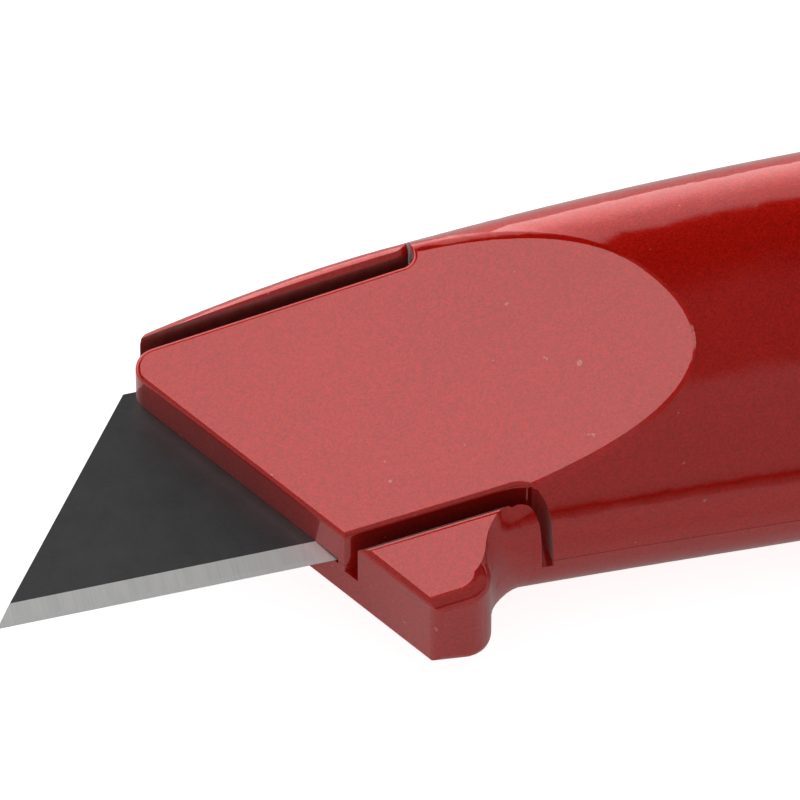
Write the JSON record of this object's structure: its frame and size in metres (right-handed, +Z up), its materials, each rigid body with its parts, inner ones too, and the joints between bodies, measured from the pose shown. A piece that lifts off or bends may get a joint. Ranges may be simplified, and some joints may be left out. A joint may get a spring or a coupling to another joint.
{
  "type": "fixed-blade utility knife",
  "caption": "Heavy-duty craft knife with a fixed trapezoid blade clamped between two painted die-cast handle halves, with a finger guard and hidden spare blade storage.",
  "frame": {"origin": "where the body screw's axis meets the flat on the lower shell that the knife rests on", "axes": "+X towards the tail, along the handle; +Y towards the spine; +Z up, out of the cover shell; the blade points to -X"},
  "size_m": [0.1556, 0.0374, 0.0201],
  "materials": {
    "red_paint": "gloss metallic red over die-cast metal",
    "blade_steel": "dark oiled blade steel with a bright ground edge",
    "pin_steel": "ground",
    "insert_brass": "machined",
    "screw_steel": "zinc plated",
    "washer_steel": "zinc plated",
    "spring_steel": "blued spring steel",
    "rivet_aluminium": "plain"
  },
  "bodies": {
    "root": {"lower_shell": "red_paint", "front_blade_pin": "pin_steel", "rear_blade_pin": "pin_steel", "front_dowel": "pin_steel", "tail_dowel": "pin_steel", "threaded_insert": "insert_brass"},
    "cover": {"cover_shell": "red_paint", "storage_spring": "spring_steel", "spring_rivet": "rivet_aluminium"},
    "washer": {"lock_washer": "washer_steel"},
    "screw": {"body_screw": "screw_steel"},
    "blade": {"working_blade": "blade_steel"},
    "spares": {"spare_blade_1": "blade_steel", "spare_blade_2": "blade_steel", "spare_blade_3": "blade_steel", "spare_blade_4": "blade_steel", "spare_blade_5": "blade_steel"}
  },
  "joints": [
    {"name": "cover_lift", "type": "slide", "parent": "root", "child": "cover", "axis": [0, 0, 1], "range_m": [0, 0.045]},
    {"name": "screw_rise", "type": "slide", "parent": "cover", "child": "washer", "axis": [0, 0, 1], "range_m": [0, 0.0064]},
    {"name": "screw_turn", "type": "hinge", "parent": "washer", "child": "screw", "pos_m": [0, 0, 0.01], "axis": [0, 0, 1], "range_deg": [0, 2900]},
    {"name": "blade_lift", "type": "slide", "parent": "root", "child": "blade", "axis": [0, 0, 1], "range_m": [0, 0.0205]},
    {"name": "spares_lift", "type": "slide", "parent": "root", "child": "spares", "axis": [0, 0, 1], "range_m": [0, 0.0115]}
  ],
  "couplings": [
    {"joint": "screw_turn", "follows": "screw_rise", "rad_per_m": 7854},
    {"joint": "blade_lift", "follows": "cover_lift", "ratio": 0.45},
    {"joint": "spares_lift", "follows": "cover_lift", "ratio": 0.25}
  ]
}
